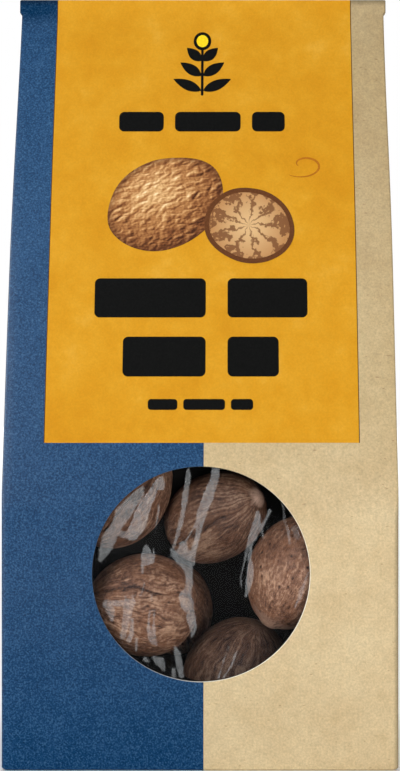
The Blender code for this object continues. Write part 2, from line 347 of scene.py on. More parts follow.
class Nodes:
    """Builds one node tree. A socket is given as a value, or as another node's output."""

    def __init__(self, name, group=bpy.data.materials):
        self.owner = group.new(name)
        self.owner.use_nodes = True
        self.tree = self.owner.node_tree
        self.tree.nodes.clear()

    def node(self, kind, settings=None, values=(), **sockets):
        """A node with its settings, its first sockets in order, and its sockets by name."""
        made = self.tree.nodes.new(kind)
        for key, value in (settings or {}).items():
            setattr(made, key, value)
        for socket, value in zip(made.inputs, values):
            self.feed(socket, value)
        for key, value in sockets.items():
            self.feed(made.inputs[key.replace("_", " ")], value)
        return made

    def feed(self, socket, value):
        if isinstance(value, bpy.types.NodeSocket):
            self.tree.links.new(value, socket)
        else:
            socket.default_value = value

    def math(self, operation, first, second=0.0):
        return self.node("ShaderNodeMath", {"operation": operation}, (first, second)).outputs[0]

    def add(self, first, second):
        return self.math("ADD", first, second)

    def less(self, first, second):
        return self.math("SUBTRACT", first, second)

    def times(self, first, second):
        return self.math("MULTIPLY", first, second)

    def hypot(self, first, second):
        return self.math("SQRT", self.add(self.times(first, first), self.times(second, second)))

    def place(self):
        """The point on the surface, in metres in the piece's own frame."""
        return self.node("ShaderNodeTexCoord").outputs["Object"]

    def axis(self, letter):
        """One coordinate of the point on the surface."""
        return self.node("ShaderNodeSeparateXYZ", Vector=self.place()).outputs[letter]

    def attribute(self, name, output="Fac"):
        return self.node("ShaderNodeAttribute", {"attribute_name": name}).outputs[output]

    def noise(self, size, detail=2.0, roughness=0.5, stretch=(1, 1, 1), where=None):
        """Noise whose blotches are about size metres across, stretched along the axes."""
        scale = [1 / (size * s) for s in stretch]
        scaled = self.node("ShaderNodeVectorMath", {"operation": "MULTIPLY"}, (where or self.place(), scale))
        made = self.node(
            "ShaderNodeTexNoise", Vector=scaled.outputs[0], Scale=1.0, Detail=detail, Roughness=roughness
        )
        return made.outputs["Fac"]

    def ramp(self, value, stops):
        made = self.node("ShaderNodeValToRGB", Fac=value)
        elements = made.color_ramp.elements
        while len(elements) < len(stops):
            elements.new(0.5)
        for element, (position, colour) in zip(elements, stops):
            element.position = position
            element.color = (*colour, 1)
        return made.outputs["Color"]

    def range(self, value, low, high, out_low=0.0, out_high=1.0):
        return self.node("ShaderNodeMapRange", values=(value, low, high, out_low, out_high)).outputs[0]

    def mix(self, share, first, second, blend="MIX"):
        """Two colours mixed. A colour is three numbers, or another node's output."""
        made = self.node("ShaderNodeMix", {"data_type": "RGBA", "blend_type": blend}, (share,))
        for socket, value in ((made.inputs[6], first), (made.inputs[7], second)):
            self.feed(socket, (*value, 1) if isinstance(value, tuple) else value)
        return made.outputs[2]

    def dim(self, colour, share):
        """The colour times share, which is one number at each point."""
        grey = self.node("ShaderNodeCombineColor", Red=share, Green=share, Blue=share)
        return self.mix(1.0, colour, grey.outputs[0], "MULTIPLY")

    def bump(self, height, distance, strength):
        made = self.node("ShaderNodeBump", Height=height, Distance=distance, Strength=strength)
        return made.outputs["Normal"]

    def blend(self, share, first, second):
        """Two shaders mixed."""
        return self.node("ShaderNodeMixShader", values=(share, first, second)).outputs[0]

    def finish(self, shader):
        self.node("ShaderNodeOutputMaterial", Surface=shader)
        return self.owner

    def paint(self, colour, roughness, specular=0.5, **sockets):
        """Finishes the material with one Principled shader."""
        sockets.update(Base_Color=colour, Roughness=roughness, Specular_IOR_Level=specular)
        return self.finish(self.node("ShaderNodeBsdfPrincipled", **sockets).outputs[0])


def srgb(red, green, blue):
    """A colour of 0 to 255 steps as linear light."""
    levels = [step / 255 for step in (red, green, blue)]
    return tuple(level / 12.92 if level <= 0.04045 else ((level + 0.055) / 1.055) ** 2.4 for level in levels)


def clouded(name, size, dark, pale, roughness, specular=0.5, detail=2.0):
    """A plain material of two near tones in soft clouds."""
    nodes = Nodes(name)
    return nodes.paint(nodes.mix(nodes.noise(size, detail), dark, pale), roughness, specular)


# The paperboard


def paint_board(nodes, colour, roughness, specular=0.5):
    """Finishes a material that shows the fine tooth of uncoated board."""
    tooth = nodes.noise(0.28 * MM, detail=3, roughness=0.6)
    height = nodes.add(tooth, nodes.times(nodes.noise(2.2 * MM), 0.6))
    return nodes.paint(colour, roughness, specular, Normal=nodes.bump(height, 0.05 * MM, 0.35))


def kraft_colour(nodes, dark, pale):
    """Bare board: soft clouds, fine grain and a few brown fibres."""
    cloud = nodes.noise(9 * MM, detail=6, roughness=0.68)
    grain = nodes.noise(0.45 * MM, detail=3, roughness=0.7)
    mottle = nodes.noise(1.5 * MM)
    fibre = nodes.noise(0.5 * MM, detail=1, stretch=(2.4, 2.4, 0.8))
    colour = nodes.mix(nodes.range(cloud, 0.32, 0.68), dark, pale)
    grain_share = nodes.range(grain, 0.3, 0.7, 0.83, 1.14)
    mottle_share = nodes.range(mottle, 0.3, 0.7, 0.95, 1.04)
    colour = nodes.dim(colour, nodes.times(grain_share, mottle_share))
    return nodes.mix(nodes.range(fibre, 0.71, 0.78, 0.0, 0.55), colour, srgb(150, 112, 74))


def paint_fold_shade(nodes, colour, first, last, darkest):
    """Paints shade on the rounded edges where they turn from the light: the upright folds from first to last
    of their arc, and the seam's top.
    """
    side = nodes.range(nodes.attribute("fold"), first, last, 0.0, darkest)
    top = nodes.range(nodes.axis("Z"), HEIGHT - 1.4 * MM, HEIGHT - 0.1 * MM, 0.0, 0.55)
    return nodes.mix(nodes.math("MAXIMUM", side, top), colour, (0.01, 0.01, 0.01))


def kraft_material():
    nodes = Nodes("bare kraft board")
    colour = kraft_colour(nodes, srgb(207, 182, 139), srgb(219, 197, 155))
    # Painted shade: the kraft darkens by height up the leaning part and the seam, and on its rounded fold
    # edges and cut top.
    share = nodes.math("DIVIDE", nodes.axis("Z"), HEIGHT)
    painted_shade = nodes.ramp(share, [(level * MM / HEIGHT, tone) for level, tone in KRAFT_PAINTED_SHADE])
    colour = paint_fold_shade(nodes, nodes.mix(1.0, colour, painted_shade, "MULTIPLY"), 0.05, 0.95, 0.75)
    return paint_board(nodes, colour, 0.78, 0.15)


def blue_material():
    """Blue ink with pale and dark specks, and painted shade that darkens it towards the seam's top. Its
    gloss is least at the foot and seam.
    """
    nodes = Nodes("blue ink on board")
    cloud = nodes.noise(6 * MM, detail=4, roughness=0.65)
    speck = nodes.noise(0.36 * MM, roughness=0.7)
    height = nodes.axis("Z")
    colour = nodes.mix(nodes.range(cloud, 0.35, 0.65), srgb(12, 58, 98), srgb(26, 67, 107))
    colour = nodes.mix(nodes.range(speck, 0.50, 0.72, 0.0, 0.68), colour, srgb(70, 110, 146))
    colour = nodes.mix(nodes.range(speck, 0.49, 0.30, 0.0, 0.8), colour, srgb(3, 34, 66))
    # Painted shade: the blue darkens towards the seam's top, and on its rounded fold edges and cut top.
    seam_shade = nodes.range(height, FOLD_TOP, SEAM_START)
    colour = nodes.mix(seam_shade, colour, (0.68, 0.68, 0.68), "MULTIPLY")
    colour = paint_fold_shade(nodes, colour, 0.6, 0.95, 0.6)
    foot = nodes.range(height, 0.0, 36 * MM, 0.03, 0.21)
    seam = nodes.range(height, DULL_START, SEAM_START, 1.0, 0.02)
    worn = nodes.range(nodes.attribute("fold"), 0.42, 0.62, 1.0, 0.08)
    return paint_board(nodes, colour, 0.36, nodes.times(nodes.times(foot, seam), worn))


def label_material():
    """Yellow ink in soft clouds."""
    nodes = Nodes("yellow ink on board")
    broad = nodes.noise(15 * MM, detail=5, roughness=0.6)
    fine = nodes.noise(3.4 * MM, detail=4, roughness=0.65)
    colour = nodes.ramp(nodes.add(nodes.times(broad, 0.65), nodes.times(fine, 0.35)), [
        (0.36, srgb(209, 144, 26)),
        (0.47, srgb(214, 151, 31)),
        (0.56, srgb(218, 157, 38)),
        (0.66, srgb(224, 166, 54)),
    ])
    colour = nodes.dim(colour, nodes.range(nodes.noise(0.4 * MM), 0.3, 0.7, 0.95, 1.04))
    return paint_board(nodes, colour, 0.66, 0.04)


def ink_material(name, colour, roughness=0.6):
    """A dense ink with the board's grain just showing through."""
    nodes = Nodes(name)
    grain = nodes.range(nodes.noise(0.4 * MM), 0.35, 0.75)
    pale = tuple(min(1, level * 1.3 + 0.002) for level in colour)
    return paint_board(nodes, nodes.mix(grain, colour, pale), roughness, 0.05)


def cut_edge_material():
    """The fibrous cut edge of the board, with its plies as thin lines."""
    nodes = Nodes("cut edge of board")
    colour = kraft_colour(nodes, srgb(196, 172, 136), srgb(226, 208, 176))
    ply = nodes.math("PINGPONG", nodes.add(nodes.axis("Y"), 20 * BOARD), BOARD / 2)
    line = nodes.range(ply, 0.0, 0.05 * MM, 0.45, 0.0)
    return paint_board(nodes, nodes.mix(line, colour, srgb(96, 76, 52)), 0.85)


def rim_material():
    """The crushed cut edge: cream beside the kraft, grey beside the blue ink."""
    nodes = Nodes("cut rim of the window")
    grain = nodes.range(nodes.noise(0.5 * MM), 0.3, 0.7)
    cream = nodes.mix(grain, srgb(238, 224, 196), srgb(255, 248, 230))
    grey = nodes.mix(grain, srgb(140, 146, 152), srgb(176, 180, 182))
    side = nodes.range(nodes.axis("X"), -6 * MM, 4 * MM)
    return nodes.paint(nodes.mix(side, grey, cream), 0.8)


# The carton's form


def leaning_share(z):
    """How far z is from the crease to the seam, with the crease and the seam slightly rounded."""
    rise = SEAM_START - BOX_HEIGHT
    start = soft_ramp(z - BOX_HEIGHT)
    end = soft_ramp(z - SEAM_START)
    return clamp((start - end) / rise)


def soft_ramp(past):
    """Zero below 0 and past above it, with a rounded corner, which is gone well above it."""
    share = past / CREASE_SOFTNESS
    return past if share > 20 else CREASE_SOFTNESS * math.log1p(math.exp(share))


def half_depth(z):
    share = leaning_share(z)
    return DEPTH / 2 + share * (SEAM_HALF_DEPTH - DEPTH / 2) + BOW * math.sin(share * math.pi)


def half_width(z):
    ear = smooth_step(SEAM_START - EAR_STEP / 2, SEAM_START + EAR_STEP / 2, z)
    return WIDTH / 2 - WAIST * smooth_step(WAIST_START, SEAM_START, z) * (1 - ear)


def fold_share(z):
    return clamp((z - BOX_HEIGHT) / (FOLD_TOP - BOX_HEIGHT))


def wave(point, seed):
    """A gentle unevenness of the board, always inwards."""
    scaled = Vector(point) / WAVE_LENGTH + Vector((seed, 0, 0))
    return WAVE * (noise.noise(scaled) * 0.5 - 0.5)


def front_columns():
    """The X of every column across the front, with one on each edge of the printed fields."""
    marks = [LABEL_LEFT - LABEL_LINE, LABEL_LEFT, DIVISION, LABEL_RIGHT, LABEL_RIGHT + LABEL_LINE]
    edges = [-FRONT_END, *marks, FRONT_END]
    columns = []
    for left, right in zip(edges, edges[1:]):
        columns += steps_between(left, right, FRONT_COLUMN_GAP)
    return columns + [FRONT_END]


COLUMNS = front_columns()


def right_side(z):
    """The outline from the front's right end, round the folded side, to the back's right end."""
    depth = half_depth(z)
    width = half_width(z)
    if z > SEAM_START - EAR_STEP / 2:
        radius = min(EAR_RADIUS, depth - SLIT)
        blend = 0.0
    else:
        blend = smooth_step(BOX_HEIGHT - FLANK_BLEND / 2, BOX_HEIGHT + FLANK_BLEND, z)
        radius = CORNER_RADIUS + blend * (FLANK / 2 - CORNER_RADIUS)
    end = math.pi / 2 * blend
    centre = (width - radius, -depth + radius)
    arc = []
    for step in range(ARC_STEPS + 1):
        angle = -math.pi / 2 + (math.pi / 2 + end) * step / ARC_STEPS
        arc.append((centre[0] + radius * math.cos(angle), centre[1] + radius * math.sin(angle)))
    last_x, last_y = arc[-1]
    last_y = min(last_y, -SLIT)
    arc[-1] = (last_x, last_y)
    middle_x = last_x
    if BOX_HEIGHT < z <= FOLD_END:
        middle_x = min(last_x, WIDTH / 2 - fold_share(z) * DEPTH / 2)
    flank = []
    for step in range(1, FLANK_STEPS + 1):
        share = step / FLANK_STEPS
        flank.append((last_x + share * (middle_x - last_x), last_y))
    half = arc + flank
    across = [(middle_x, last_y * (1 - 2 * i / FOLD_STEPS)) for i in range(1, FOLD_STEPS)]
    return half + across + [(x, -y) for x, y in reversed(half)]


def skin_ring(z, inset=0.0, height=None):
    """The outer skin's points at z, counter-clockwise from the front's left. Its form is read at height."""
    height = z if height is None else height
    depth = half_depth(height)
    side = right_side(height)
    ring = [(x, -depth) for x in COLUMNS] + side
    ring += [(x, depth) for x in reversed(COLUMNS)] + [(-x, -y) for x, y in side]
    scale_x = 1 - inset / (WIDTH / 2)
    scale_y = 1 - inset / max(depth, 1 * MM)
    points = []
    for x, y in ring:
        push_y = clamp(abs(y) / DEPTH_FADE) * wave((x, y, z), DEPTH_PATTERN)
        push_x = clamp(abs(x) / WIDTH_FADE) * wave((x, y, z), WIDTH_PATTERN)
        y += push_y if y > 0 else -push_y
        x += push_x if x > 0 else -push_x
        points.append((x * scale_x, y * scale_y, z))
    return points


def skin_heights():
    heights = []
    low = BASE_ROUNDING
    for high, gap in SKIN_ROWS:
        heights += steps_between(low, high, gap)
        low = high
    return heights + [low]


def rounded_cap(edge_z, cap_z, radius, steps=5):
    """Heights and insets of a rounded edge, from the wall to the cap."""
    rows = []
    for step in range(1, steps + 1):
        angle = math.pi / 2 * step / steps
        z = edge_z + (cap_z - edge_z) * math.sin(angle)
        rows.append((z, radius * (1 - math.cos(angle))))
    return rows


def loft_rings(rings):
    """Points and faces through the rings, ring by ring, with the lower and the upper cap last."""
    size = len(rings[0])
    points = [point for ring in rings for point in ring]
    top = len(points) - size
    caps = [tuple(reversed(range(size))), tuple(range(top, top + size))]
    return points, grid_faces(len(rings), size) + caps


def skin_material(x, z, on_front):
    """Which print a face of the outer skin has, from its middle."""
    if on_front and z > LABEL_FOOT and LABEL_LEFT - LABEL_LINE < x < LABEL_RIGHT + LABEL_LINE:
        if x < LABEL_LEFT or x > LABEL_RIGHT:
            return LINE
        return LABEL
    return BLUE if x < DIVISION else KRAFT


def fold_marks():
    """For each point of a ring: how far round the arc of a vertical fold it lies, and 0 elsewhere."""
    arc = [step / ARC_STEPS for step in range(ARC_STEPS + 1)]
    side = arc + [0.0] * (2 * FLANK_STEPS + FOLD_STEPS - 1) + arc[::-1]
    plain = [0.0] * len(COLUMNS)
    return plain + side + plain + side


def outer_skin():
    rings = []
    for z, inset in reversed(rounded_cap(BASE_ROUNDING, 0.0, BASE_ROUNDING)):
        rings.append(skin_ring(z, inset, BASE_ROUNDING))
    rings += [skin_ring(z) for z in skin_heights()]
    for z, inset in rounded_cap(HEIGHT - TOP_ROUNDING, HEIGHT, TOP_ROUNDING):
        rings.append(skin_ring(z, inset, HEIGHT))
    points, faces = loft_rings(rings)
    mesh = mesh_from("carton_skin", points, faces)
    size = len(rings[0])
    mark_points(mesh, "fold", fold_marks() * len(rings))
    front = len(COLUMNS) - 1
    for index, face in enumerate(mesh.polygons):
        if index == len(faces) - 1:
            face.material_index = EDGE
            continue
        column = index % size
        on_front = index < len(faces) - 2 and column < front
        across = (COLUMNS[column] + COLUMNS[column + 1]) / 2 if on_front else face.center.x
        face.material_index = skin_material(across, face.center.z, on_front)
    return mesh


def cavity_ring(z):
    width = WIDTH / 2 - fold_share(z) * DEPTH / 2 - BOARD
    outline = rounded_box(width, half_depth(z) - BOARD, CAVITY_RADIUS, 4)
    return [(x - math.copysign(WAVE, x), y - math.copysign(WAVE, y), z) for x, y in outline]


def window_outline(radius, widen=None):
    """The window's outline as X and Z, from its circle on the unfolded front panel."""
    lean = math.atan2(half_depth(BOX_HEIGHT) - half_depth(LEAN_MARK), LEAN_MARK - BOX_HEIGHT)
    outline = []
    for step in range(WINDOW_STEPS):
        angle = step / WINDOW_STEPS * 2 * math.pi
        reach = radius + (widen(step) if widen else 0)
        x = WINDOW_CENTRE[0] + reach * math.cos(angle)
        up = WINDOW_CENTRE[1] + WINDOW_HEIGHT_SHARE * reach * math.sin(angle)
        z = min(up, BOX_HEIGHT) + max(up - BOX_HEIGHT, 0) * math.cos(lean)
        outline.append((x, z))
    return outline


def rim_width(step):
    """The cut edge is crushed into a pale bevel, widest at the lower right, where the lit edge shows, and
    almost none at the upper left, where the wall's painted shade shows.
    """
    angle = step / WINDOW_STEPS * 2 * math.pi
    return RIM_WIDTH + RIM_EXTRA * smooth_step(-0.55, 0.8, math.cos(angle - RIM_TOWARDS))


def window_cutter(material, shade):
    """A round cutter that widens to a narrow bevel at the panel's face. Its wall takes shade, a near-black
    painted shade.
    """
    inner = window_outline(WINDOW_RADIUS)
    outer = window_outline(WINDOW_RADIUS, rim_width)
    widths = [rim_width(step) for step in range(WINDOW_STEPS)]
    at_surface = [front_surface(x, z) for x, z in outer]
    below = [front_surface(x, z, width) for (x, z), width in zip(inner, widths)]
    rings = [
        [(x, -DEPTH, z) for x, z in outer],
        [tuple(point) for point in at_surface],
        [tuple(point) for point in below],
        [(x, -DEPTH / 4, z) for x, z in inner],
    ]
    points, faces = loft_rings(rings)
    made = cutter("window", points, faces, material)
    made.data.materials.append(shade)
    for index, face in enumerate(made.data.polygons):
        face.material_index = 0 if index // WINDOW_STEPS == 1 else 1
    return made


def box_cutter(name, low, high, material):
    ring = [(low[0], low[1]), (high[0], low[1]), (high[0], high[1]), (low[0], high[1])]
    points, faces = loft_rings([[(x, y, z) for x, y in ring] for z in (low[2], high[2])])
    return cutter(name, points, faces, material)


def front_surface(x, z, behind=0.0):
    """The point of the front panel at x and z, set back by behind."""
    face = -half_depth(z)
    return Vector((x, face + behind - wave((x, face, z), DEPTH_PATTERN), z))


def mend(mesh, weld=0.0):
    """Welds points that are weld or less apart, and turns the faces outwards."""
    edited = bmesh.new()
    edited.from_mesh(mesh)
    if weld:
        bmesh.ops.remove_doubles(edited, verts=edited.verts, dist=weld)
        bmesh.ops.dissolve_degenerate(edited, edges=edited.edges, dist=weld / 2)
    bmesh.ops.recalc_face_normals(edited, faces=edited.faces)
    edited.to_mesh(mesh)
    edited.free()


def cutter(name, points, faces, material):
    mesh = mesh_from(name, points, faces)
    mend(mesh)
    made = add_object(name, mesh)
    made.data.materials.append(material)
    return made


def apply_modifier(target):
    """Gives target the mesh that its modifier makes."""
    graph = bpy.context.evaluated_depsgraph_get()
    mesh = bpy.data.meshes.new_from_object(target.evaluated_get(graph))
    target.modifiers.clear()
    target.data = mesh
    return mesh


def apply_cut(target, tool):
    """Cuts tool out of target, keeps tool's material on the new faces, and deletes tool."""
    boolean = target.modifiers.new("cut", "BOOLEAN")
    boolean.operation = "DIFFERENCE"
    boolean.solver = "EXACT"
    boolean.material_mode = "TRANSFER"
    boolean.object = tool
    apply_modifier(target)
    bpy.data.objects.remove(tool, do_unlink=True)


def make_carton():
    """The carton: its printed skin, hollowed, with its window and its base flap cut."""
    mesh = outer_skin()
    carton = add_object("carton_board", mesh)
    # Painted shade: the cavity's walls and the window's cut wall are near-black, though that board is bare
    # kraft.
    painted_shade_inside = clouded("dark inside of the board", 0.6 * MM, (0.030, 0.022, 0.014), (0.045, 0.034, 0.022), 0.9)
    rim = rim_material()
    line = ink_material("dark line beside the label", srgb(84, 58, 16))
    for material in (
        blue_material(), kraft_material(), label_material(), line, cut_edge_material(), painted_shade_inside, rim,
    ):
        mesh.materials.append(material)
    mend(mesh, WELD)

    heights = [FLOOR, *(level * MM for level in CAVITY_ROWS), *steps_between(*CAVITY_UPPER_ROWS)]
    points, faces = loft_rings([cavity_ring(z) for z in heights])
    apply_cut(carton, cutter("cavity", points, faces, painted_shade_inside))
    apply_cut(carton, window_cutter(rim, painted_shade_inside))
    low = (-WIDTH, FLAP_END, -FLAP_STEP)
    high = (WIDTH, DEPTH, FLAP_STEP)
    apply_cut(carton, box_cutter("flap_gap", low, high, carton.data.materials[EDGE]))
    carton.data.shade_smooth()
    carton.data.set_sharp_from_angle(angle=SHARP_ANGLE)
    ride_root(carton, "carton")


# The print on the label


def print_mesh(outline, centre, rings, lift):
    """A thin field of ink. Its outline is star-shaped round its centre, and it follows the panel."""
    points = [front_surface(*centre, -lift)]
    faces = []
    count = len(outline)
    for ring in range(1, rings + 1):
        share = ring / rings
        for x, z in outline:
            across = centre[0] + share * (x - centre[0])
            up = centre[1] + share * (z - centre[1])
            points.append(front_surface(across, up, -lift))
    for i in range(count):
        j = (i + 1) % count
        faces.append((0, 1 + i, 1 + j))
        for ring in range(rings - 1):
            low, high = 1 + ring * count, 1 + (ring + 1) * count
            faces.append((low + i, high + i, high + j, low + j))
    return points, faces


def add_print(name, fields, material, rings, lift=PRINT_LIFT):
    """One printed piece made of several fields, each an outline with its centre."""
    points, faces = [], []
    for outline, centre in fields:
        more_points, more_faces = print_mesh(outline, centre, rings, lift)
        start = len(points)
        points += more_points
        faces += [tuple(start + i for i in face) for face in more_faces]
    add_smooth(name, mesh_from(name, points, faces), material)


def ellipse(centre, half_x, half_z, tilt=0.0, wobble=0.0, seed=0.0, steps=72):
    outline = []
    for step in range(steps):
        angle = step / steps * 2 * math.pi
        uneven = 1 + wobble * noise.noise((math.cos(angle) * 1.3, math.sin(angle) * 1.3, seed))
        x, z = half_x * math.cos(angle) * uneven, half_z * math.sin(angle) * uneven
        outline.append(turned(centre, x, z, tilt))
    return outline, centre


def rounded_bar(centre, width, height, radius):
    outline = rounded_box(width / 2, height / 2, radius, 6)
    return [(centre[0] + x, centre[1] + z) for x, z in outline], centre


def leaf(foot, length, width, tilt, steps=16):
    """A pointed leaf from its foot, leaning by tilt from upright."""
    sides = []
    for side in (1, -1):
        points = []
        for step in range(steps + 1):
            share = step / steps
            across = side * width / 2 * math.sin(math.pi * share ** 0.85) ** 0.9
            points.append(turned(foot, across, share * length, -tilt))
        sides.append(points)
    return sides[0] + sides[1][-2:0:-1], turned(foot, 0, length / 2, -tilt)


def make_sprig():
    """The head of the label: a plain sprig of leaves with a round fruit at its top."""
    x, z = SPRIG_FOOT
    fields = [rounded_bar((x, z + SPRIG_HEIGHT / 2), 0.55 * MM, SPRIG_HEIGHT, 0.25 * MM)]
    for row in range(SPRIG_ROWS):
        share = row / (SPRIG_ROWS - 1)
        foot = z + SPRIG_HEIGHT * (0.10 + 0.62 * share)
        length = (6.6 - 2.2 * share) * MM
        for side in (-1, 1):
            tilt = side * math.radians(66 - 20 * share)
            fields.append(leaf((x + side * 0.2 * MM, foot), length, 2.3 * MM, tilt))
    top = (x, z + SPRIG_HEIGHT + 1.5 * MM)
    fields.append(ellipse(top, 1.9 * MM, 2.1 * MM))
    dark = ink_material("dark print", srgb(10, 9, 7), 0.75)
    add_print("label_sprig", fields, dark, 5)
    yellow = ink_material("bright yellow print", srgb(247, 205, 28), 0.5)
    add_print("label_fruit", [ellipse(top, 1.25 * MM, 1.4 * MM)], yellow, 4, 2 * PRINT_LIFT)
    return dark


def make_bars(dark):
    """Plain bars in rows across the label."""
    bars = []
    for up, height, widths in LABEL_BARS:
        gap = height * 0.55
        left = -(sum(widths) * MM + gap * MM * (len(widths) - 1)) / 2
        for width in widths:
            centre = (left + width * MM / 2, up * MM)
            bars.append(rounded_bar(centre, width * MM, height * MM, min(0.3 * height, 1.1) * MM))
            left += (width + gap) * MM
    add_print("label_bars", bars, dark, 6)


def make_flourish():
    """A thin curled stroke beside the printed nutmegs."""
    path = []
    for step in range(FLOURISH_STEPS + 1):
        share = step / FLOURISH_STEPS
        angle = math.radians(200 - 330 * share)
        reach = (1.1 + 3.6 * share) * MM
        path.append((FLOURISH[0] + reach * math.cos(angle), FLOURISH[1] + reach * 0.62 * math.sin(angle)))
    points, faces = [], []
    for step, (x, z) in enumerate(path):
        before, after = path[max(step - 1, 0)], path[min(step + 1, FLOURISH_STEPS)]
        along = Vector((after[0] - before[0], after[1] - before[1])).normalized()
        half = 0.17 * MM * (0.4 + math.sin(math.pi * step / FLOURISH_STEPS))
        for side in (-1, 1):
            points.append(front_surface(x - side * half * along.y, z + side * half * along.x, -PRINT_LIFT))
        if step:
            faces.append((2 * step - 2, 2 * step - 1, 2 * step + 1, 2 * step))
    mesh = mesh_from("label_flourish", points, faces)
    mesh.materials.append(ink_material("brown print", srgb(176, 104, 22), 0.6))
    ride_root(add_object("label_flourish", mesh))


def printed_nutmeg_material():
    """Printed brown husk: pale veins in a net, darker towards the lower right."""
    nodes = Nodes("printed nutmeg")
    across = nodes.less(nodes.axis("X"), PRINTED_WHOLE[0])
    up = nodes.less(nodes.axis("Z"), PRINTED_WHOLE[1])
    cosine, sine = math.cos(PRINTED_TILT), math.sin(PRINTED_TILT)
    long_way = nodes.add(nodes.times(across, cosine), nodes.times(up, sine))
    short_way = nodes.less(nodes.times(up, cosine), nodes.times(across, sine))
    where = nodes.node("ShaderNodeCombineXYZ", X=long_way, Y=short_way).outputs[0]

    def ridges(shift):
        """Ridged noise at the point moved by shift along the light's way."""
        moved = nodes.node("ShaderNodeVectorMath", {"operation": "ADD"}, (where, (-shift, 1.4 * shift, 0)))
        wrinkle = nodes.noise(2.3 * MM, detail=3, stretch=(1.7, 1, 1), where=moved.outputs[0])
        return nodes.math("ABSOLUTE", nodes.less(wrinkle, 0.5))

    def reach_from(long_share, short_share):
        """How far a point is from a place on the print, with its half sizes as the unit."""
        long_part = nodes.less(nodes.math("DIVIDE", long_way, PRINTED_SIZE[0]), long_share)
        short_part = nodes.less(nodes.math("DIVIDE", short_way, PRINTED_SIZE[1]), short_share)
        return nodes.hypot(long_part, short_part)

    shade = nodes.less(ridges(0.12 * MM), ridges(-0.12 * MM))
    lit = nodes.range(reach_from(-0.10, 0.35), 0.0, 1.4, 0.80, 0.16)
    colour = nodes.ramp(nodes.add(lit, nodes.times(shade, -3.2)), [
        (0.05, srgb(72, 36, 16)),
        (0.30, srgb(130, 78, 40)),
        (0.55, srgb(182, 126, 74)),
        (0.80, srgb(226, 180, 122)),
        (1.00, srgb(250, 224, 176)),
    ])
    rim = nodes.range(reach_from(0.0, 0.0), 0.86, 1.0, 0.0, 0.6)
    return nodes.paint(nodes.mix(rim, colour, srgb(84, 44, 20)), 0.75, 0.1)


def printed_half_material():
    """Printed cut face: cream flesh with brown veins that run in from the rim."""
    nodes = Nodes("printed half nutmeg")
    warp = nodes.noise(2.2 * MM, detail=3, roughness=0.6)
    across = nodes.less(nodes.axis("X"), PRINTED_HALF[0])
    up = nodes.less(nodes.axis("Z"), PRINTED_HALF[1])
    angle = nodes.math("ARCTAN2", up, across)
    vein = nodes.math("SINE", nodes.add(nodes.times(angle, 9.0), nodes.times(warp, 15.0)))
    reach = nodes.math("DIVIDE", nodes.hypot(across, up), 8 * MM)
    inward = nodes.add(nodes.range(reach, 0.1, 0.9, -0.45, 0.25), vein)
    flesh = nodes.mix(nodes.range(reach, 0.2, 1.0), srgb(220, 180, 128), srgb(188, 136, 84))
    colour = nodes.mix(nodes.range(inward, 0.1, 0.7, 0.0, 0.85), flesh, srgb(118, 72, 40))
    return nodes.paint(colour, 0.75, 0.1)


def make_printed_nutmegs():
    """The label's picture: a whole nutmeg on the left and a halved one, low on the right."""
    whole = ellipse(PRINTED_WHOLE, *PRINTED_SIZE, PRINTED_TILT, 0.05, 2.0)
    add_print("label_nutmeg", [whole], printed_nutmeg_material(), 8)
    husk = ellipse(PRINTED_HALF, 9.6 * MM, 8.0 * MM, math.radians(-12), 0.05, 5.0)
    add_print("label_husk", [husk], ink_material("printed husk", srgb(96, 56, 28)), 6, 1.6 * PRINT_LIFT)
    face = ellipse(PRINTED_HALF, 8.6 * MM, 7.0 * MM, math.radians(-12), 0.05, 5.0)
    add_print("label_half", [face], printed_half_material(), 6, 2.2 * PRINT_LIFT)


# The nutmegs


def soft_noise(points, seed, size=32):
    """Smooth noise from -1 to 1 at every row of points, with blotches about 1 unit across."""
    table = np.random.default_rng(seed).uniform(-1, 1, (size, size, size))
    cell = np.floor(points).astype(int)
    part = points - cell
    part = part * part * (3 - 2 * part)
    total = np.zeros(len(points))
    for corner in np.ndindex(2, 2, 2):
        offset = np.array(corner)
        weight = np.prod(np.where(offset == 1, part, 1 - part), axis=1)
        index = (cell + offset) % size
        total += weight * table[index[:, 0], index[:, 1], index[:, 2]]
    return total


def layered_noise(points, seed, layers=3):
    total = np.zeros(len(points))
    for layer in range(layers):
        total += soft_noise(points * 2 ** layer, seed + layer) * 0.5 ** layer
    return total


def nutmeg_grid():
    """Height from -1 to 1 and angle of every point of a round grid, and its faces."""
    around = np.arange(NUTMEG_AROUND) / NUTMEG_AROUND * 2 * math.pi
    polar = (np.arange(NUTMEG_ALONG) + 0.5) / NUTMEG_ALONG * math.pi
    angle, slope = np.meshgrid(around, polar)
    faces = [(a, d, c, b) for a, b, c, d in grid_faces(NUTMEG_ALONG, NUTMEG_AROUND)]
    last = (NUTMEG_ALONG - 1) * NUTMEG_AROUND
    faces += [tuple(reversed(range(NUTMEG_AROUND))), tuple(range(last, last + NUTMEG_AROUND))]
    return np.cos(slope).ravel(), angle.ravel(), faces


def bell(value, width):
    """1 where value is 0, falling to almost 0 at two widths from there."""
    return np.exp(-((value / width) ** 2))


def pit_marks(ball, seed):
    """Small round pits at random places on the seed, from 0 to 1."""
    places = np.random.default_rng(seed).normal(size=(PIT_COUNT, 3))
    places /= np.linalg.norm(places, axis=1)[:, None]
    nearest = np.arccos(np.clip((ball @ places.T).max(axis=1), -1, 1))
    return bell(nearest, PIT_REACH)


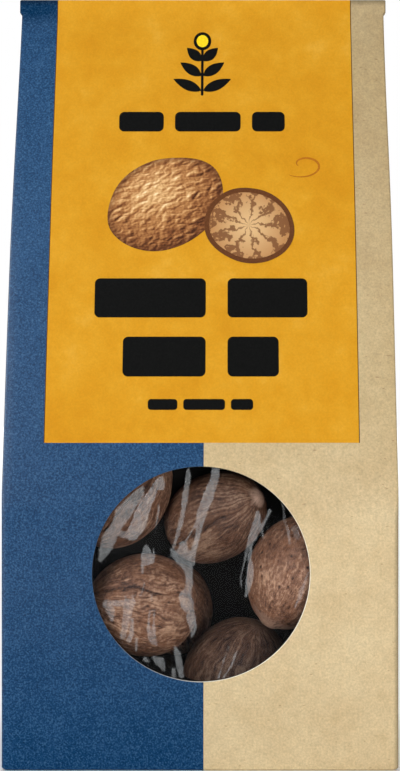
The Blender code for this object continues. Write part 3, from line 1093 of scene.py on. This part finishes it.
def nutmeg_relief(along, angle, seed, coat):
    """Relief in metres, tone from 0 to 1, and the angle that the wandering fibres follow."""
    wrinkles, net, fibres, pits, hilum, _, raphe = coat
    waist = np.sqrt(np.clip(1 - along ** 2, 0, 1))
    ball = np.stack([waist * np.cos(angle), waist * np.sin(angle), along], 1)
    swerved = angle + 0.14 * soft_noise(ball * 2.1, seed) + 0.05 * soft_noise(ball * 6, seed + 1)
    shifted = along + 0.12 * soft_noise(ball * 3, seed + 2)
    ring = np.stack([np.cos(swerved), np.sin(swerved)], 1)

    fold = layered_noise(np.column_stack([ring * 10.5, shifted * 1.8]), seed + 10)
    patchy = np.clip(0.55 + 0.9 * soft_noise(ball * 2.0, seed + 5), 0.1, 1) * wrinkles
    groove = bell(fold, 0.08) * patchy
    bank = bell(np.abs(fold) - 0.26, 0.12) * patchy
    knot = layered_noise(np.column_stack([ring * 8, shifted * 4]), seed + 20)
    netted = np.clip(0.4 + 1.2 * soft_noise(ball * 2.2, seed + 6), 0, 1) * net
    crease = bell(knot, 0.09) * netted
    vein = bell(knot - 0.30, 0.09) * netted
    fine = layered_noise(np.column_stack([ring * 24, shifted * 3.4]), seed + 30) * fibres
    grain = layered_noise(ball * 22, seed + 40, 2)
    patch = layered_noise(ball * 2.3, seed + 50, 2)
    lumps = soft_noise(ball * 1.6, seed + 55)
    pit = pit_marks(ball, seed + 60) * pits
    seam = bell(wrap(swerved - math.radians(raphe)), 0.045) * np.clip(waist * 1.5, 0, 1)
    knob = 0.5 * min(hilum, 1) * bell(1 - along, 0.02)

    # Each mark with its height in millimetres and its change of tone.
    marks = [
        (groove, -0.12, -0.38),
        (bank, 0.05, 0.17),
        (crease, -0.07, -0.26),
        (vein, 0.04, 0.30),
        (fine, 0.04, 0.15),
        (grain, 0.016, 0.11),
        (patch, 0.0, 0.10),
        (pit, -0.12, -0.5),
        (seam, -0.10, -0.22),
    ]
    relief = sum(height * mark for mark, height, change in marks)
    tone = 0.53 + sum(change * mark for mark, height, change in marks)
    fade = np.clip(waist * 2.2, 0.12, 1)
    return (relief * fade + 0.22 * lumps + knob) * MM, np.clip(tone, 0, 1), swerved


def make_nutmeg(name, centre, length, breadth, direction, seed, material):
    along, angle, faces = GRID
    *_, hilum, spread, raphe = COATS[name]
    waist = np.sqrt(np.clip(1 - along ** 2, 0, 1))
    hollow = RAPHE_DEPTH * bell(wrap(angle - math.radians(raphe)), RAPHE_WIDTH)
    girth = 1 - NUTMEG_TAPER * along - waist * hollow
    relief, tone, swerved = nutmeg_relief(along, angle, seed, COATS[name])
    radius = waist * girth * breadth * MM / 2
    points = np.stack([radius * np.cos(angle), radius * np.sin(angle), along * length * MM / 2], 1)
    outward = points / np.linalg.norm(points, axis=1)[:, None]
    points += outward * (relief - 0.08 * MM)[:, None]
    edge = 0.25 * soft_noise(points / (1.6 * MM), seed + 70)
    pale = hilum * np.clip(1.6 - (1 - along) / spread + edge * 3.5, 0, 1)
    round_seed = [np.cos(swerved) * breadth / 2, np.sin(swerved) * breadth / 2, along * length / 2]
    turn = np.array(Vector(direction).to_track_quat("Z", "Y").to_matrix())
    mesh = mesh_from(name + "_seed", points @ turn.T + np.array(centre) * MM, faces)
    mark_points(mesh, "tone", tone)
    mark_points(mesh, "pale", pale)
    mark_points(mesh, "seed_place", points)
    mark_points(mesh, "fibre_place", np.stack(round_seed, 1) * MM)
    add_smooth(name + "_seed", mesh, material, name)


def wrap(angle):
    """The angle as a value from -pi to pi."""
    return (angle + math.pi) % (2 * math.pi) - math.pi


def nutmeg_material(name, tone):
    """Dry brown seed coat. tone darkens or lightens the whole nutmeg, partly as the seed's own colour and
    partly as painted light and shade, and the hilum is paler.
    """
    nodes = Nodes("seed coat of " + name)
    place = nodes.attribute("seed_place", "Vector")
    along_fibre = nodes.attribute("fibre_place", "Vector")
    fibre = nodes.noise(0.24 * MM, detail=3, roughness=0.7, stretch=(1, 1, 9), where=along_fibre)
    speck = nodes.noise(0.26 * MM, detail=3, roughness=0.7, where=place)
    blotch = nodes.noise(3.5 * MM, detail=4, roughness=0.65, where=place)
    mixed = nodes.add(nodes.times(nodes.attribute("tone"), 0.60), nodes.times(fibre, 0.16))
    mixed = nodes.add(mixed, nodes.times(speck, 0.24))
    colour = nodes.ramp(mixed, [
        (0.34, srgb(50, 32, 25)),
        (0.44, srgb(100, 69, 53)),
        (0.53, srgb(138, 100, 79)),
        (0.65, srgb(200, 163, 136)),
    ])
    colour = nodes.mix(nodes.range(blotch, 0.46, 0.66, 0.0, 0.4), colour, srgb(142, 94, 64))
    # Partly painted light and shade: the whole seed is darkened or lightened by tone.
    colour = nodes.mix(1.0, colour, (tone, 0.97 * tone, 0.93 * tone), "MULTIPLY")
    pale_share = nodes.times(nodes.attribute("pale"), nodes.range(mixed, 0.35, 0.60, 0.25, 0.85))
    colour = nodes.mix(pale_share, colour, srgb(182, 148, 128))
    normal = nodes.bump(nodes.add(fibre, speck), 0.08 * MM, 0.7)
    return nodes.paint(colour, 0.68, 0.35, Normal=normal)


def make_nutmegs():
    for seed, (name, (centre, length, breadth, direction, tone)) in enumerate(NUTMEGS.items()):
        material = nutmeg_material(name, tone)
        make_nutmeg(name, centre, length, breadth, direction, 100 * seed + 7, material)


# The film and the bag


def painted_fold_glare(x, z):
    """How strongly the painted highlight on the film's folds shows at x and z, from 0 to 1."""
    shift = 0.16 * MM * layered_noise(sheet_places(x, z, 0.75, 1.5), 501, 2)
    glare = np.zeros_like(x)
    for strength, path in FILM_FOLDS:
        for (x0, z0, w0), (x1, z1, w1) in zip(path, path[1:]):
            start, end = np.array((x0, z0)) * MM, np.array((x1, z1)) * MM
            line = end - start
            share = np.clip(((x - start[0]) * line[0] + (z - start[1]) * line[1]) / (line @ line), 0, 1)
            off = np.hypot(x - start[0] - share * line[0], z - start[1] - share * line[1])
            half = (w0 + share * (w1 - w0)) * MM / 2
            edge = np.clip((half - off + shift) / (0.12 * MM) + 0.3, 0, 1)
            glare = np.maximum(glare, strength * edge)
    return glare


def sheet_places(x, z, across, up, third=0.0):
    """Places for noise on the film, with blotches of across by up in millimetres."""
    return np.stack([x / (across * MM), z / (up * MM), 0 * x + third], 1)


def make_film():
    """The inner bag's clear crumpled front, just behind the front panel."""
    low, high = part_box("window_film")
    xs = np.linspace(low.x, high.x, FILM_GRID)
    zs = np.linspace(low.z, high.z, FILM_GRID)
    x, z = (grid.ravel() for grid in np.meshgrid(xs, zs))
    glare = painted_fold_glare(x, z)
    broad = layered_noise(sheet_places(x, z, 5, 9), 601, 2)
    sharp = 1 - 2 * np.abs(soft_noise(sheet_places(x, z, 3, 8, 0.5), 611))
    surface = np.array([-half_depth(height) for height in zs]).repeat(FILM_GRID)
    # The film also comes a little forward along its folds, so they are partly real folds under the painted
    # highlight.
    behind = FILM_BEHIND + (0.10 * broad + 0.06 * sharp - 0.10 * glare) * MM
    faces = grid_faces(FILM_GRID, FILM_GRID, closed=False)
    mesh = mesh_from("film_sheet", np.stack([x, surface + behind, z], 1), faces)
    mark_points(mesh, "glare", glare)
    add_smooth("film_sheet", mesh, film_material(), "window_film")


def film_material():
    """Clear film: mostly transparent, a faint gloss, and painted white on its folds, a painted highlight
    where they catch the light.
    """
    nodes = Nodes("clear film")
    mottle = nodes.noise(0.6 * MM, detail=3, roughness=0.6, stretch=(1, 1, 3))
    patchy = nodes.range(mottle, 0.32, 0.66, FILM_GLARE * 0.65, FILM_GLARE * 1.2)
    clear = nodes.node("ShaderNodeBsdfTransparent").outputs[0]
    glare_white = nodes.node("ShaderNodeBsdfDiffuse", Color=(0.86, 0.89, 0.90, 1)).outputs[0]
    gloss = nodes.node("ShaderNodeBsdfGlossy", Color=(0.28, 0.28, 0.29, 1), Roughness=0.13).outputs[0]
    fresnel = nodes.node("ShaderNodeFresnel", IOR=1.35).outputs[0]
    body = nodes.blend(nodes.times(nodes.attribute("glare"), patchy), clear, glare_white)
    return nodes.finish(nodes.blend(fresnel, body, gloss))


def clear_of_nutmegs(points):
    """The bag's points, each moved out of the nutmeg that it would lie in."""
    for centre, length, breadth, direction, _ in NUTMEGS.values():
        turn = np.array(Vector(direction).to_track_quat("Z", "Y").to_matrix())
        local = (points - np.array(centre) * MM) @ turn
        along = local[:, 2] / (length * MM / 2 + SOCKET_GAP)
        girth = (1 - NUTMEG_TAPER * np.clip(along, -1, 1)) * breadth * MM / 2 + SOCKET_GAP
        level = np.hypot(np.hypot(local[:, 0], local[:, 1]) / girth, along)
        points = points + (local / np.maximum(level, 0.5)[:, None] - local) @ turn.T * (level < 1)[:, None]
    return points


def make_bag():
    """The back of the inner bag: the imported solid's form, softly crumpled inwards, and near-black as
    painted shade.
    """
    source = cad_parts["inner_bag"]
    bag = add_object("bag_liner", source.data.copy())
    bag.data.materials.clear()
    remesh = bag.modifiers.new("remesh", "REMESH")
    remesh.mode = "VOXEL"
    remesh.voxel_size = BAG_VOXEL
    mesh = apply_modifier(bag)
    points = np.empty(3 * len(mesh.vertices))
    mesh.vertices.foreach_get("co", points)
    points = points.reshape(-1, 3)
    normals = np.array([vertex.normal[:] for vertex in mesh.vertices])
    crumple = np.abs(layered_noise(points / (6 * MM), 701, 3))
    points = clear_of_nutmegs(points - normals * (crumple * BAG_CRUMPLE)[:, None])
    mesh.vertices.foreach_set("co", points.ravel())
    # Painted shade: near-black tones that stand for the dark of the pack's hollow.
    cloud = ((0.004, 0.004, 0.003), (0.009, 0.008, 0.007))
    mesh.materials.append(clouded("dark inside of the pack", 5 * MM, *cloud, 0.85, 0.2, 3))
    mesh.shade_smooth()
    ride_root(bag, "inner_bag")


# The stage, the lights and the camera


def make_floor():
    mesh = mesh_from("floor", [(-2, -2, 0), (2, -2, 0), (2, 2, 0), (-2, 2, 0)], [(0, 1, 2, 3)])
    mesh.materials.append(clouded("pale floor", 0.2, (0.90, 0.90, 0.90), (0.94, 0.94, 0.94), 0.7))
    add_object("floor", mesh)


def make_world():
    """White to the camera, soft light on the pack, and dim to reflections."""
    nodes = Nodes("studio", bpy.data.worlds)
    bpy.context.scene.world = nodes.owner
    rays = nodes.node("ShaderNodeLightPath").outputs
    lit, dim, white = [
        nodes.node("ShaderNodeBackground", Color=(1, 1, 1, 1), Strength=strength).outputs[0]
        for strength in (WORLD_LIGHT, WORLD_REFLECTED, 1.0)
    ]
    unseen = nodes.blend(rays["Is Glossy Ray"], lit, dim)
    seen = nodes.blend(rays["Is Camera Ray"], unseen, white)
    nodes.node("ShaderNodeOutputWorld", Surface=seen)


def soft_light(name, place, target, width, height, power, colour=(1, 1, 1)):
    data = bpy.data.lights.new(name, "AREA")
    data.shape = "RECTANGLE"
    data.size = width
    data.size_y = height
    data.energy = power
    data.color = colour
    light = bpy.data.objects.new(name, data)
    bpy.context.scene.collection.objects.link(light)
    light.location = place
    light.rotation_euler = (Vector(target) - Vector(place)).to_track_quat("-Z", "Y").to_euler()
    return light


def make_lights():
    middle = (0, 0, HEIGHT / 2)
    soft_light("key", (-0.30, -0.46, 0.24), middle, 0.22, 0.22, 1.22)
    soft_light("fill", (0.22, -0.46, 0.05), (0, 0, 0.03), 0.30, 0.16, 0.78)
    sheen = soft_light("sheen", (0.0, -0.54, 0.47), middle, 0.90, 0.20, 2.2, (0.45, 0.75, 1.0))
    sheen.visible_diffuse = False
    edge = soft_light("edge", (-0.50, -0.22, 0.22), (0, 0, 0.12), 0.08, 0.30, 4.5, (0.8, 0.9, 1.0))
    edge.visible_diffuse = False
    soft_light("backdrop", (0, 1.9, 1.5), (0, 1.9, 0), 3.2, 2.6, 60)


def make_camera():
    """The photograph's view: level, straight at the front, from a point to the right of the middle."""
    data = bpy.data.cameras.new("camera")
    data.sensor_width = SENSOR
    data.lens = FOCAL_PX / PHOTO_HEIGHT * SENSOR
    data.shift_x = -CENTRE_SHIFT_PX / PHOTO_HEIGHT
    camera = bpy.data.objects.new("camera", data)
    bpy.context.scene.collection.objects.link(camera)
    camera.location = (CAMERA_X, -DEPTH / 2 - CAMERA_DISTANCE, CAMERA_HEIGHT)
    camera.rotation_euler = (math.pi / 2, 0, 0)
    bpy.context.scene.camera = camera


GRID = nutmeg_grid()

bpy.context.scene.view_settings.view_transform = "Standard"
make_camera()
make_world()
make_lights()
make_floor()
make_carton()
print_ink = make_sprig()
make_bars(print_ink)
make_flourish()
make_printed_nutmegs()
make_nutmegs()
make_bag()
make_film()
